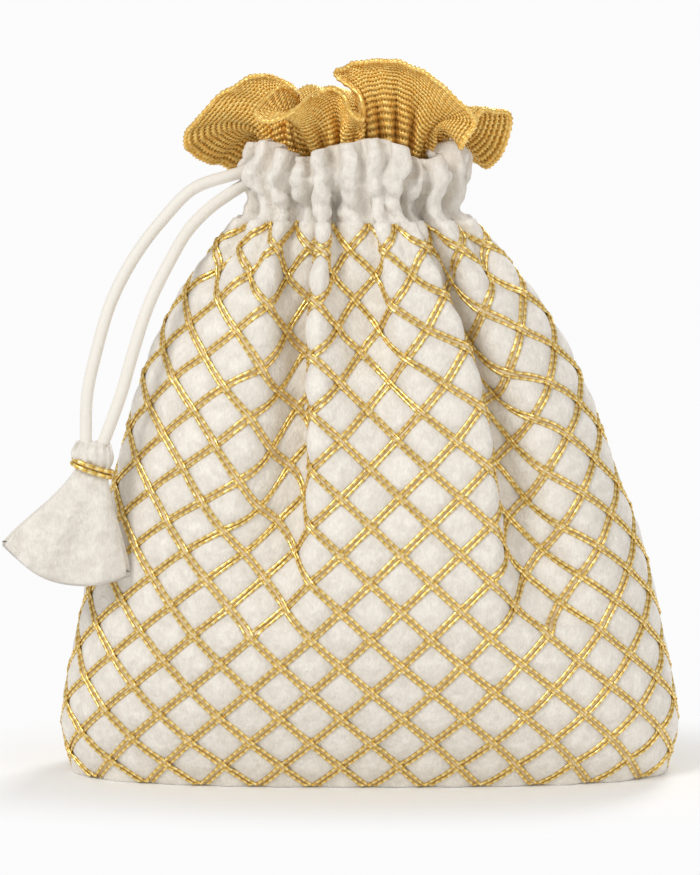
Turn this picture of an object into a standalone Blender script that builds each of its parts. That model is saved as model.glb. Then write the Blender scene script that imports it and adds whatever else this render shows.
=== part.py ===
"""A potli: a gathered velvet drawstring pouch with a couched gold braid lattice, a woven gold frill
at its mouth, and a drawstring loop that ends in a flat velvet tassel.

The pouch stands on its flat base, centred on the origin. +Z is up and the front faces -Y. All sizes
are in metres. Cloth is laid out by rings: each ring is the same length of cloth, folded until it
fits round the oval that the pouch has at that height, so the folds deepen towards the neck.
"""

import math

import bmesh
import bpy
import numpy as np
from mathutils import Quaternion, Vector
from mathutils.bvhtree import BVHTree

# The braid lattice, as it lies on the flat cloth
LATTICE_COLUMNS = 24  # diamonds round the pouch
LATTICE_ROWS = 21  # half diamonds from the base to the throat
DIAMOND_WIDTH = 0.0193
BRAID_WIDTH = 0.0033
BRAID_HEIGHT = 0.0010
BRAID_HIGHEST = 0.0055  # that a braid may stand off the velvet in a fold
BRAID_SQUEEZE = 0.45  # how much narrower the gathers press a braid at the throat
BRAID_START = 0.32  # share of the first half diamond that a braid leaves bare at the base
BRAID_END = 0.45  # and of the last one, at the throat

# The pouch: the height of each of its sections and the oval that the section fills
BASE_HALF_WIDTH = 0.0995
BASE_HALF_DEPTH = 0.0260
FOOT_HEIGHT = 0.0120
FOOT_HALF_WIDTH = 0.1025
FOOT_HALF_DEPTH = 0.0330
BELLY_HEIGHT = 0.0500
BELLY_HALF_WIDTH = 0.0970
BELLY_HALF_DEPTH = 0.0445
FLANK_HEIGHT = 0.1000
FLANK_HALF_WIDTH = 0.0850
FLANK_HALF_DEPTH = 0.0450
BREAST_HEIGHT = 0.1430
BREAST_HALF_WIDTH = 0.0700
BREAST_HALF_DEPTH = 0.0400
SHOULDER_HEIGHT = 0.1680
SHOULDER_HALF_WIDTH = 0.0560
SHOULDER_HALF_DEPTH = 0.0350
THROAT_HEIGHT = 0.1860
THROAT_HALF_WIDTH = 0.0400
THROAT_HALF_DEPTH = 0.0290
WALL = 0.0028  # velvet with its backing, measured level

# The gathered neck above the lattice, which holds the drawstring
WAIST_RISE = 0.0050
WAIST_HALF_WIDTH = 0.0350
WAIST_HALF_DEPTH = 0.0260
COLLAR_RISE = 0.0140
COLLAR_HALF_WIDTH = 0.0385
COLLAR_HALF_DEPTH = 0.0285
LIP_RISE = 0.0240
LIP_HALF_WIDTH = 0.0360
LIP_HALF_DEPTH = 0.0260
LIP_RUFFLE = 0.0020
NECK_SHIFT = -0.0045  # the neck leans to the drawstring's side

# The folds: where each one lies on the cloth, how far it strays, where it fades and its strength
FOLD_HALF_LENGTH = 0.0240  # cloth taken by one side of a deep fold
STEEPEST_FOLD = math.radians(56)
STEEPEST_GATHER = math.radians(30)
THROAT_EASING = 0.25  # share of a deep fold that the gathers take over at the throat
DEEP_FOLDS = (
    {"at": -0.030, "drift": -0.009, "foot": 0.38, "share": 1.00},
    {"at": 0.009, "drift": 0.000, "foot": 0.66, "share": 0.85},
    {"at": 0.057, "drift": 0.000, "foot": 0.34, "share": 1.00},
    {"at": 0.128, "drift": 0.000, "foot": 0.60, "share": 0.80},
    {"at": 0.178, "drift": 0.000, "foot": 0.45, "share": 0.90},
    {"at": 0.231, "drift": 0.000, "foot": 0.60, "share": 0.80},
    {"at": 0.284, "drift": 0.000, "foot": 0.45, "share": 0.90},
    {"at": 0.334, "drift": 0.000, "foot": 0.60, "share": 0.80},
)
STILL_COLUMN = -0.015  # the cloth here rises plumb, left of the front's middle

# The gold frill, which starts inside the neck and rolls out over its lip
FRILL_WALL = 0.0009
FRILL_ROOT_SHARE = 0.25  # where its root lies, from the neck's collar to its lip
FRILL_ROLL_RISE = 0.0100  # above the lip
FRILL_HEM_RISE = 0.0200
FRILL_BACK_RISE = 0.0040
FRILL_HEM_OUT = 0.0120
FRILL_HEM_WAVE = 0.0090

# The drawstring
CORD_DIAMETER = 0.0040
CORD_POINTS = 13
TASSEL_DEPTH = -0.0300  # the plane that the tassel hangs in, in front of the pouch's side
UPPER_STRAND = (
    (-0.0450, -0.0080, 0.2010),
    (-0.0580, -0.0110, 0.1965),
    (-0.0673, -0.0140, 0.1873),
    (-0.0767, -0.0180, 0.1750),
    (-0.0840, -0.0220, 0.1610),
    (-0.0887, -0.0260, 0.1453),
    (-0.0917, -0.0290, 0.1313),
    (-0.0923, -0.0300, 0.1178),
)
LOWER_STRAND = (
    (-0.0450, -0.0080, 0.1955),
    (-0.0523, -0.0120, 0.1905),
    (-0.0590, -0.0160, 0.1838),
    (-0.0653, -0.0220, 0.1733),
    (-0.0720, -0.0265, 0.1593),
    (-0.0767, -0.0290, 0.1450),
    (-0.0807, -0.0300, 0.1313),
    (-0.0862, -0.0300, 0.1170),
)

# The tassel, as sections from its tuft to its hem: left end, right end, sag, half thickness
TASSEL_SECTIONS = (
    ((-0.0955, 0.1157), (-0.0840, 0.1146), 0.0000, 0.0026),
    ((-0.0972, 0.1120), (-0.0833, 0.1100), 0.0000, 0.0040),
    ((-0.0955, 0.1090), (-0.0850, 0.1058), 0.0000, 0.0028),
    ((-0.0968, 0.1056), (-0.0848, 0.1018), 0.0000, 0.0030),
    ((-0.1030, 0.0985), (-0.0832, 0.0935), 0.0015, 0.0042),
    ((-0.1120, 0.0905), (-0.0805, 0.0830), 0.0040, 0.0042),
    ((-0.1205, 0.0830), (-0.0778, 0.0725), 0.0075, 0.0030),
)
TASSEL_TIED = 2  # the section that the gold thread binds
TASSEL_COLUMNS = 16
TIE_THREAD = 0.0014
TIE_TURNS = 2
TIE_POINTS = 12  # of one turn

SEAT_GAP = 0.0003  # between pieces that touch
BRAID_PROBES = (0.0, 0.125, 0.25, 0.375, 0.5, 0.625, 0.75, 0.875, 1.0)

# Sizes that follow from those above
CLOTH_LENGTH = LATTICE_COLUMNS * DIAMOND_WIDTH
COLUMNS = 2 * LATTICE_COLUMNS
FINE = 16  # samples of the cloth between two columns
SAMPLES = COLUMNS * FINE
SECTIONS = np.array(
    (
        (0.0, BASE_HALF_WIDTH, BASE_HALF_DEPTH),
        (FOOT_HEIGHT, FOOT_HALF_WIDTH, FOOT_HALF_DEPTH),
        (BELLY_HEIGHT, BELLY_HALF_WIDTH, BELLY_HALF_DEPTH),
        (FLANK_HEIGHT, FLANK_HALF_WIDTH, FLANK_HALF_DEPTH),
        (BREAST_HEIGHT, BREAST_HALF_WIDTH, BREAST_HALF_DEPTH),
        (SHOULDER_HEIGHT, SHOULDER_HALF_WIDTH, SHOULDER_HALF_DEPTH),
        (THROAT_HEIGHT, THROAT_HALF_WIDTH, THROAT_HALF_DEPTH),
    )
)

IVORY = (0.86, 0.82, 0.75)
CORD_IVORY = (0.82, 0.78, 0.71)
GOLD = (0.80, 0.56, 0.20)
DEEP_GOLD = (0.72, 0.46, 0.12)


def material(name, colour, roughness, metallic=0.0):
    made = bpy.data.materials.new(name)
    made.use_nodes = True
    shader = made.node_tree.nodes["Principled BSDF"]
    shader.inputs["Base Color"].default_value = (*colour, 1.0)
    shader.inputs["Roughness"].default_value = roughness
    shader.inputs["Metallic"].default_value = metallic
    return made


def ease(value, low, high):
    """0 below low, 1 above high and a smooth step between."""
    t = np.clip((value - low) / (high - low), 0, 1)
    return t * t * (3 - 2 * t)


def smooth_curve(knots, values, at):
    """A smooth curve through the values at their knots, which keeps the slopes of neighbours."""
    slopes = np.gradient(values, knots, axis=0)
    k = int(np.clip(np.searchsorted(knots, at) - 1, 0, len(knots) - 2))
    span = knots[k + 1] - knots[k]
    t = (at - knots[k]) / span
    return (
        (2 * t**3 - 3 * t**2 + 1) * values[k]
        + (t**3 - 2 * t**2 + t) * span * slopes[k]
        + (3 * t**2 - 2 * t**3) * values[k + 1]
        + (t**3 - t**2) * span * slopes[k + 1]
    )


def oval(half_width, half_depth, power):
    """Fine points round an oval from the front's middle towards +X, their outward normals and
    the length of the outline up to each point."""
    angle = np.linspace(0, 2 * math.pi, SAMPLES + 1)
    s, c = np.sin(angle), np.cos(angle)
    x = half_width * np.sign(s) * np.abs(s) ** (2 / power)
    y = -half_depth * np.sign(c) * np.abs(c) ** (2 / power)
    points = np.stack([x, y], axis=1)
    steps = np.linalg.norm(np.diff(points, axis=0), axis=1)
    length = np.concatenate([[0], np.cumsum(steps)])
    ring = points[:-1]
    tangent = np.roll(ring, -1, axis=0) - np.roll(ring, 1, axis=0)
    normal = np.stack([tangent[:, 1], -tangent[:, 0]], axis=1)
    normal /= np.linalg.norm(normal, axis=1)[:, None]
    return points, np.concatenate([normal, normal[:1]]), length


def share_until(test):
    """The largest share from 0 to 1 that passes the test, which fails above some share."""
    low, high = 0.0, 1.0
    for _ in range(24):
        middle = (low + high) / 2
        if test(middle):
            low = middle
        else:
            high = middle
    return low


def fold_parts(rise):
    """For a height given as a share of the lattice's: the turn of the deep folds at each fine
    sample of the cloth, and for each fold its centre and its strength."""
    cloth = np.arange(SAMPLES) * CLOTH_LENGTH / SAMPLES
    turn = np.zeros(SAMPLES)
    folds = []
    for fold in DEEP_FOLDS:
        centre = fold["at"] + fold["drift"] * rise
        away = (cloth - centre + CLOTH_LENGTH / 2) % CLOTH_LENGTH - CLOTH_LENGTH / 2
        strength = fold["share"] * float(ease(rise, fold["foot"] - 0.25, fold["foot"] + 0.30))
        wave = np.sin(math.pi * away / FOLD_HALF_LENGTH)
        turn += np.where(np.abs(away) < FOLD_HALF_LENGTH, strength * wave, 0.0)
        folds.append((centre % CLOTH_LENGTH, strength))
    return turn, folds


def cloth_ring(half_width, half_depth, power, deep, gather, shift):
    """One ring of the cloth, folded by its deep folds and then its small gathers until it fits
    round an oval. Crests lie on the oval and folds run in from it. Returns the fine points."""
    points, normals, length = oval(half_width, half_depth, power)
    wanted = length[-1] / CLOTH_LENGTH
    deep = deep * STEEPEST_FOLD
    small = gather * np.sin(-2 * math.pi * LATTICE_COLUMNS * np.arange(SAMPLES) / SAMPLES)
    small = small * STEEPEST_GATHER
    turn = deep * share_until(lambda share: np.cos(share * deep).mean() > wanted)
    turn = turn + small * share_until(lambda share: np.cos(turn + share * small).mean() > wanted)
    step = CLOTH_LENGTH / SAMPLES
    along = np.concatenate([[0], np.cumsum(np.cos(turn)) * step])
    out = np.concatenate([[0], np.cumsum(np.sin(turn)) * step])
    out -= np.linspace(0, out[-1], len(out))
    out = np.minimum(out - np.percentile(out, 85), 0.0)
    along *= length[-1] / along[-1]
    along += STILL_COLUMN - shift - np.interp(STILL_COLUMN % CLOTH_LENGTH, fine_cloth(), along)
    at = along[:-1] % length[-1]
    ring = np.stack([np.interp(at, length, points[:, k]) for k in range(2)], axis=1)
    outward = np.stack([np.interp(at, length, normals[:, k]) for k in range(2)], axis=1)
    ring += outward * out[:-1, None]
    ring[:, 0] += shift
    return ring, outward


def fine_cloth():
    return np.arange(SAMPLES + 1) * CLOTH_LENGTH / SAMPLES


def row_heights():
    """The heights at which equal lengths of cloth, measured up the pouch, end."""
    heights = np.linspace(0, THROAT_HEIGHT, 400)
    halves = np.array([smooth_curve(SECTIONS[:, 0], SECTIONS[:, 1:], h) for h in heights])
    inward = (np.diff(halves, axis=0) ** 2).mean(axis=1)
    climbed = np.concatenate([[0], np.cumsum(np.sqrt(np.diff(heights) ** 2 + inward))])
    return np.interp(np.linspace(0, climbed[-1], LATTICE_ROWS + 1), climbed, heights)


def lattice_ring(height):
    rise = height / THROAT_HEIGHT
    half_width, half_depth = smooth_curve(SECTIONS[:, 0], SECTIONS[:, 1:], height)
    power = 2.7 - 0.6 * float(ease(rise, 0.0, 0.35))
    shift = NECK_SHIFT * float(ease(rise, 0.3, 1.0))
    deep, folds = fold_parts(rise)
    gather = float(ease(rise, 0.86, 1.0))
    deep = deep * (1 - THROAT_EASING * gather)
    ring, outward = cloth_ring(half_width, half_depth, power, deep, gather, shift)
    return ring, outward, folds


def panel_lift(lean, ring, folds):
    """How far each fine sample of a row stands above the row's height. Cloth between two folds
    stays square to its own lean, and the folds between take up the step."""
    across = np.roll(ring, -1, axis=0) - ring
    slope = -(lean * across).sum(axis=1)
    tilt = np.concatenate([[0], np.cumsum(slope)])[:-1]
    cloth = fine_cloth()[:-1]
    folds = sorted(folds)
    lift = np.zeros(SAMPLES)
    for k, (centre, strength) in enumerate(folds):
        before, weak_before = folds[k - 1]
        gap = (centre - before) % CLOTH_LENGTH
        middle = (before + gap / 2) % CLOTH_LENGTH
        away = (cloth - middle + CLOTH_LENGTH / 2) % CLOTH_LENGTH - CLOTH_LENGTH / 2
        own = np.abs(away) <= gap / 2
        level = np.interp(middle, cloth, tilt)
        edge = np.clip((gap / 2 - np.abs(away)) / (FOLD_HALF_LENGTH * 0.8), 0, 1)
        weight = np.where(away > 0, strength, weak_before) * (edge * edge * (3 - 2 * edge))
        lift = np.where(own, (tilt - level) * weight, lift)
    return lift


def lattice_points():
    """The outer surface from the base edge to the throat, one row of points for each ring."""
    heights = row_heights()
    rows = []
    for height in heights:
        ring, outward, folds = lattice_ring(height)
        near = 0.004
        above = lattice_ring(min(height + near, THROAT_HEIGHT))[0]
        below = lattice_ring(max(height - near, 0.0))[0]
        lean = (above - below) / (min(height + near, THROAT_HEIGHT) - max(height - near, 0.0))
        rise = height / THROAT_HEIGHT
        fade = float(ease(rise, 0.0, 0.35) * (1 - ease(rise, 0.85, 1.0)))
        lift = fade * np.clip(panel_lift(lean, ring, folds), -0.008, 0.008)
        rows.append(np.column_stack([ring, height + lift])[::FINE])
    return np.array(rows)


def neck_ring(height, half_width, half_depth, folding):
    deep, _ = fold_parts(1.0)
    ring, _ = cloth_ring(half_width, half_depth, 2.1, folding * deep, 1.0, NECK_SHIFT)
    return np.column_stack([ring, np.full(SAMPLES, height)])[::FINE]


def inner_ring(ring, inset=WALL):
    """A ring inside another, moved in from the oval that the outer one lies on."""
    middle = np.array((ring[:, 0].mean(), 0.0))
    flat = ring[:, :2] - middle
    half_width = np.abs(flat[:, 0]).max()
    half_depth = np.abs(flat[:, 1]).max()
    inward = np.column_stack([flat[:, 0] / half_width**2, flat[:, 1] / half_depth**2])
    inward /= np.linalg.norm(inward, axis=1)[:, None]
    moved = ring.copy()
    moved[:, :2] -= inset * inward
    return moved


def make_object(name, vertices, faces, collection, look):
    mesh = bpy.data.meshes.new(name)
    mesh.from_pydata([tuple(v) for v in vertices], [], faces)
    mesh.validate()
    shape = bmesh.new()
    shape.from_mesh(mesh)
    bmesh.ops.recalc_face_normals(shape, faces=shape.faces)
    if shape.calc_volume(signed=True) < 0:
        bmesh.ops.reverse_faces(shape, faces=shape.faces)
    shape.to_mesh(mesh)
    shape.free()
    mesh.materials.append(look)
    made = bpy.data.objects.new(name, mesh)
    collection.objects.link(made)
    return made


def bands(first, second, columns, diagonal):
    """Triangles between two rings of points, given the numbers of their first points."""
    faces = []
    for c in range(columns):
        n = (c + 1) % columns
        a, b, p, q = first + c, first + n, second + c, second + n
        if diagonal(c):
            faces += [(a, b, q), (a, q, p)]
        else:
            faces += [(a, b, p), (b, q, p)]
    return faces


def neck_rings():
    """The neck's waist, where the drawstring cinches it, its collar and its ruffled lip."""
    waist = neck_ring(THROAT_HEIGHT + WAIST_RISE, WAIST_HALF_WIDTH, WAIST_HALF_DEPTH, 0.50)
    collar = neck_ring(THROAT_HEIGHT + COLLAR_RISE, COLLAR_HALF_WIDTH, COLLAR_HALF_DEPTH, 0.25)
    lip = neck_ring(THROAT_HEIGHT + LIP_RISE, LIP_HALF_WIDTH, LIP_HALF_DEPTH, 0.15)
    lip[:, 2] += LIP_RUFFLE * np.sin(5 * column_turn() + 0.6)
    return waist, collar, lip


def column_turn():
    return 2 * math.pi * np.arange(COLUMNS) / COLUMNS


def build_body(lattice, neck, collection, look):
    """The velvet pouch: a closed wall with its folds, gathers, neck and hollow."""
    outer = [*lattice, *neck]
    inner_rows = [inner_ring(ring) for ring in reversed(neck)]
    upper = 2 * LATTICE_ROWS // 3
    for row in (*range(LATTICE_ROWS, upper, -1), *range(upper, 1, -3)):
        inner_rows.append(inner_ring(lattice[row]))
    floor = inner_ring(lattice[0])
    floor[:, 2] += WALL
    inner_rows.append(floor)
    rings = outer + inner_rows
    faces = []
    for r in range(len(rings) - 1):
        first, second = r * COLUMNS, (r + 1) * COLUMNS
        faces += bands(first, second, COLUMNS, lambda c: (c + r) % 2 == 0)
    last = (len(rings) - 1) * COLUMNS
    faces.append(tuple(range(COLUMNS)))
    faces.append(tuple(last + c for c in range(COLUMNS)))
    return make_object("velvet_body", np.concatenate(rings), faces, collection, look)


def clear_tree(objects):
    """A search tree of the faces of some objects."""
    points, faces = [], []
    for item in objects:
        start = len(points)
        points += [v.co.copy() for v in item.data.vertices]
        faces += [tuple(start + v for v in face.vertices) for face in item.data.polygons]
    return BVHTree.FromPolygons(points, faces)


def clearance(tree, spot):
    """How far a point stands off the nearest face, below 0 when it is behind that face."""
    near, facing, _, _ = tree.find_nearest(spot)
    away = spot - near
    behind = away.dot(facing) < -0.7 * away.length
    return -away.length if behind else away.length


def braid_rings(path, normals, heights):
    """The sections of one braid: two corners below and a ridge above at each point."""
    rings = []
    for k, point in enumerate(path):
        ahead = (path[min(k + 1, len(path) - 1)] - path[max(k - 1, 0)]).normalized()
        up = (normals[k] - normals[k].dot(ahead) * ahead).normalized()
        squeeze = 1 - BRAID_SQUEEZE * float(ease(k / (len(path) - 1), 0.6, 1.0))
        side = ahead.cross(up) * (BRAID_WIDTH / 2 * squeeze)
        seat = point + up * heights[k]
        rings.append((seat - side, seat + side, seat + up * BRAID_HEIGHT))
    return rings


def build_braid(name, path, normals, tree, collection, look):
    """One braid, raised at each point until its underside clears what it crosses."""
    heights = [SEAT_GAP] * len(path)
    for _ in range(20):
        rings = braid_rings(path, normals, heights)
        short = [0.0] * len(path)
        for k in range(len(path) - 1):
            for near, far in ((0.0, 0.0), (1.0, 1.0), (0.0, 1.0), (1.0, 0.0), (0.5, 0.5)):
                start = rings[k][0].lerp(rings[k][1], near)
                end = rings[k + 1][0].lerp(rings[k + 1][1], far)
                for t in BRAID_PROBES:
                    lack = SEAT_GAP - clearance(tree, start.lerp(end, t))
                    if lack > 0:
                        short[k] = max(short[k], lack * (1.0 - t))
                        short[k + 1] = max(short[k + 1], lack * t)
        if max(short) < 0.00002:
            break
        heights = [min(h + s, BRAID_HIGHEST) for h, s in zip(heights, short)]
    rings = braid_rings(path, normals, heights)
    vertices = [corner for ring in rings for corner in ring]
    faces = [(0, 1, 2)]
    for k in range(len(path) - 1):
        middle = sum((vertices[3 * k + corner] for corner in range(6)), Vector()) / 6
        for side in range(3):
            n = (side + 1) % 3
            a, b, p, q = 3 * k + side, 3 * k + n, 3 * k + 3 + side, 3 * k + 3 + n
            rising = ((vertices[a] + vertices[q]) / 2 - middle).length
            falling = ((vertices[b] + vertices[p]) / 2 - middle).length
            if rising > falling:
                faces += [(a, b, q), (a, q, p)]
            else:
                faces += [(a, b, p), (b, q, p)]
    last = 3 * (len(path) - 1)
    faces.append((last, last + 1, last + 2))
    return make_object(name, vertices, faces, collection, look)


def build_braids(lattice, body, collection, look):
    """The lattice: one family of braids leans right, and the other leans left on top of it."""
    body.data.update()
    points = [[Vector(p) for p in row] for row in lattice]
    normals = [body.data.vertices[k].normal.copy() for k in range(lattice.shape[0] * COLUMNS)]
    laid = [body]
    for family, lean in (("right", 1), ("left", -1)):
        for k in range(LATTICE_COLUMNS):
            columns = [(2 * k + lean * row) % COLUMNS for row in range(LATTICE_ROWS + 1)]
            path = [points[row][c] for row, c in enumerate(columns)]
            facing = [normals[row * COLUMNS + c] for row, c in enumerate(columns)]
            path[0] = path[0].lerp(path[1], BRAID_START)
            path[-1] = path[-1].lerp(path[-2], BRAID_END)
            facing[0] = facing[1]
            name = f"braid_{family}_{k + 1:02d}"
            tree = clear_tree(laid)
            laid.append(build_braid(name, path, facing, tree, collection, look))


def build_frill(neck, collection, look):
    """The gold frill: a strip seated inside the neck that rolls out in waves over its lip."""
    _, collar, lip = neck
    turn = column_turn()
    top = THROAT_HEIGHT + LIP_RISE
    wave = 0.6 * np.cos(5 * turn + 0.9) + 0.4 * np.cos(8 * turn - 0.6)
    sides = np.abs(np.sin(turn)) ** 3
    left = np.clip(-np.sin(turn), 0, 1) ** 4
    inset = WALL + SEAT_GAP + FRILL_WALL
    root = inner_ring(collar + FRILL_ROOT_SHARE * (lip - collar), inset)
    edge = inner_ring(lip, inset)
    edge[:, 2] += FRILL_WALL
    rings = [root, edge]
    for out, rise in (
        (-0.5 * WALL + 0 * turn, FRILL_ROLL_RISE + 0.002 * wave),
        (
            FRILL_HEM_OUT + 0.004 * wave + 0.006 * left,
            FRILL_HEM_RISE + FRILL_HEM_WAVE * wave - 0.012 * sides - FRILL_BACK_RISE * np.cos(turn),
        ),
    ):
        x = NECK_SHIFT + (LIP_HALF_WIDTH + out) * np.sin(turn)
        y = -(LIP_HALF_DEPTH + out) * np.cos(turn)
        rings.append(np.column_stack([x, y, top + rise]))
    faces = []
    for r in range(len(rings) - 1):
        faces += bands(r * COLUMNS, (r + 1) * COLUMNS, COLUMNS, lambda c: c % 2 == 0)
    made = make_object("gold_frill", np.concatenate(rings), faces, collection, look)
    solid = made.modifiers.new("Thickness", "SOLIDIFY")
    solid.thickness = FRILL_WALL
    solid.offset = 0.0


def smooth_path(route, count):
    """Evenly spaced points on the smooth curve through the points of a route."""
    route = np.array(route)
    steps = np.linalg.norm(np.diff(route, axis=0), axis=1)
    knots = np.concatenate([[0], np.cumsum(steps)])
    return [smooth_curve(knots, route, at) for at in np.linspace(0, knots[-1], count)]


def seat_end(points, tree):
    """Run the first point of a cord on towards what it enters until its end just clears it."""
    second = Vector(points[1])
    ahead = (Vector(points[0]) - second).normalized()
    side = ahead.orthogonal().normalized() * (CORD_DIAMETER / 2)
    rim = [Quaternion(ahead, math.pi * k / 6) @ side for k in range(12)]
    step = SEAT_GAP / 3
    slide = 0.0
    while slide < 0.02:
        end = second + ahead * (slide + step)
        if min(clearance(tree, end + arm) for arm in rim) < SEAT_GAP:
            break
        slide += step
    return [second + ahead * slide, *points[1:]]


def tube(name, points, diameter, collection, look):
    curve = bpy.data.curves.new(name, "CURVE")
    curve.dimensions = "3D"
    curve.bevel_depth = diameter / 2
    curve.bevel_resolution = 2
    curve.use_fill_caps = True
    spline = curve.splines.new("POLY")
    spline.points.add(len(points) - 1)
    for point, place in zip(spline.points, points):
        point.co = (*place, 1.0)
    curve.materials.append(look)
    made = bpy.data.objects.new(name, curve)
    collection.objects.link(made)
    return made


def build_tassel(collection, look):
    """The tassel's velvet: a short tuft, a tied throat and a flat skirt that fans out."""
    turn = 2 * math.pi * np.arange(TASSEL_COLUMNS) / TASSEL_COLUMNS
    rings = []
    for left, right, sag, half_thickness in TASSEL_SECTIONS:
        left, right = np.array(left), np.array(right)
        middle, reach = (left + right) / 2, (right - left) / 2
        down = np.array((reach[1], -reach[0])) / np.linalg.norm(reach)
        width = np.cos(turn)
        flat = middle + width[:, None] * reach + (sag * (1 - width**2))[:, None] * down
        depth = TASSEL_DEPTH + half_thickness * np.sin(turn)
        rings.append(np.column_stack([flat[:, 0], depth, flat[:, 1]]))
    faces = []
    for r in range(len(rings) - 1):
        first, second = r * TASSEL_COLUMNS, (r + 1) * TASSEL_COLUMNS
        faces += bands(first, second, TASSEL_COLUMNS, lambda c: c % 2 == 0)
    last = (len(rings) - 1) * TASSEL_COLUMNS
    faces.append(tuple(range(TASSEL_COLUMNS)))
    faces.append(tuple(last + c for c in range(TASSEL_COLUMNS)))
    return make_object("tassel_velvet", np.concatenate(rings), faces, collection, look)


def tie_points():
    """Two turns of gold thread round the tassel's throat."""
    left, right, _, half_thickness = TASSEL_SECTIONS[TASSEL_TIED]
    left, right = np.array(left), np.array(right)
    middle, reach = (left + right) / 2, (right - left) / 2
    down = np.array((reach[1], -reach[0])) / np.linalg.norm(reach)
    room = SEAT_GAP + TIE_THREAD / 2 + 0.0012
    wide = 1 + room / np.linalg.norm(reach)
    pitch = TIE_THREAD + SEAT_GAP
    points = []
    for k in range(TIE_TURNS * TIE_POINTS + 1):
        angle = 2 * math.pi * k / TIE_POINTS
        slide = (k / TIE_POINTS - TIE_TURNS / 2) * pitch
        flat = middle + math.cos(angle) * wide * reach + slide * down
        depth = TASSEL_DEPTH + (half_thickness + room) * math.sin(angle)
        points.append((flat[0], depth, flat[1]))
    return points


def main():
    for item in list(bpy.data.objects):
        bpy.data.objects.remove(item, do_unlink=True)
    collection = bpy.data.collections.new("potli_pouch")
    bpy.context.scene.collection.children.link(collection)

    lattice = lattice_points()
    neck = neck_rings()
    velvet = material("ivory_velvet", IVORY, 0.9)
    body = build_body(lattice, neck, collection, velvet)
    braid = material("gold_braid", GOLD, 0.35, 0.8)
    build_braids(lattice, body, collection, braid)
    build_frill(neck, collection, material("gold_weave", DEEP_GOLD, 0.4, 0.8))
    tassel = build_tassel(collection, material("tassel_ivory_velvet", IVORY, 0.9))
    cord = material("ivory_cord", CORD_IVORY, 0.8)
    neck_tree = clear_tree([body])
    tassel_tree = clear_tree([tassel])
    for name, route in (("drawstring_upper", UPPER_STRAND), ("drawstring_lower", LOWER_STRAND)):
        points = seat_end(smooth_path(route, CORD_POINTS), neck_tree)
        points = seat_end(points[::-1], tassel_tree)
        tube(name, points, CORD_DIAMETER, collection, cord)
    thread = material("gold_thread", GOLD, 0.3, 0.9)
    tube("tassel_tie", tie_points(), TIE_THREAD, collection, thread)


main()
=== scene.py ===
"""Looks of the potli pouch: velvet, braids, frill, drawstring and tassel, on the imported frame."""

import math

import bmesh
import bpy
import numpy as np
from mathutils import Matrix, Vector, noise


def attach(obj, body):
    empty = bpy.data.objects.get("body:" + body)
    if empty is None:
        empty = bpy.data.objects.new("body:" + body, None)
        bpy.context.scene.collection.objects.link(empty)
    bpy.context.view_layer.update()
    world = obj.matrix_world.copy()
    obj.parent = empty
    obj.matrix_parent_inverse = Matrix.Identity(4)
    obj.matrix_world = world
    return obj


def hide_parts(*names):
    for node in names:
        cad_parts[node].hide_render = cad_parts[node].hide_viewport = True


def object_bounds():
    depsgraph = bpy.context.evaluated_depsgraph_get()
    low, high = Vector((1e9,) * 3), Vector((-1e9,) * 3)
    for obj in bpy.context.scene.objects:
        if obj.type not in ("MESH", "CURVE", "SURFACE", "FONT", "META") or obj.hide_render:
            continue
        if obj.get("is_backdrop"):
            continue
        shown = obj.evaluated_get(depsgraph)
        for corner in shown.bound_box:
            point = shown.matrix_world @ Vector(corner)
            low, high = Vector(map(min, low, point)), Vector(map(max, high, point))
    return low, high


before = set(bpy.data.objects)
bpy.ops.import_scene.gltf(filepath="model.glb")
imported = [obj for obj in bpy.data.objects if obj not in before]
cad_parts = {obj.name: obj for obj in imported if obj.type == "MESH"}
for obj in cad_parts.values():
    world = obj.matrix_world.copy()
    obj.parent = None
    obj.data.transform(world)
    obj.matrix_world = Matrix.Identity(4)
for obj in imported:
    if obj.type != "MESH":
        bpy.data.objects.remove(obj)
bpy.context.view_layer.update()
scene = bpy.context.scene

# Camera: square to the pouch's front and 8 degrees above it, as in the photograph.
# Its long lens keeps the pouch's outline close to the true one.
camera = bpy.data.objects.new("camera", bpy.data.cameras.new("camera"))
scene.collection.objects.link(camera)
camera.data.lens = 120
view_distance = 0.975
view_rise = math.radians(8)
view_target = Vector((-0.0067, 0.0, 0.1130))
view_back = Vector((0.0, -math.cos(view_rise), math.sin(view_rise)))
camera.location = view_target + view_back * view_distance
camera.rotation_euler = (-view_back).to_track_quat("-Z", "Y").to_euler()
scene.camera = camera

# Floor and studio: a pale matt floor, which fades to plain white away from the pouch.
# A soft key lamp stands at the upper left, a fill at the right and a rim lamp behind, in a pale room.
bpy.ops.mesh.primitive_plane_add(size=8)
floor = bpy.context.object
floor.name = "floor"
floor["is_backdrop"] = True


def new_look(name, roughness, metallic=0.0):
    """A material, with its nodes, its links and its shader."""
    look = bpy.data.materials.new(name)
    look.use_nodes = True
    shader = look.node_tree.nodes["Principled BSDF"]
    shader.inputs["Roughness"].default_value = roughness
    shader.inputs["Metallic"].default_value = metallic
    return look, look.node_tree.nodes, look.node_tree.links, shader


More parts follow.
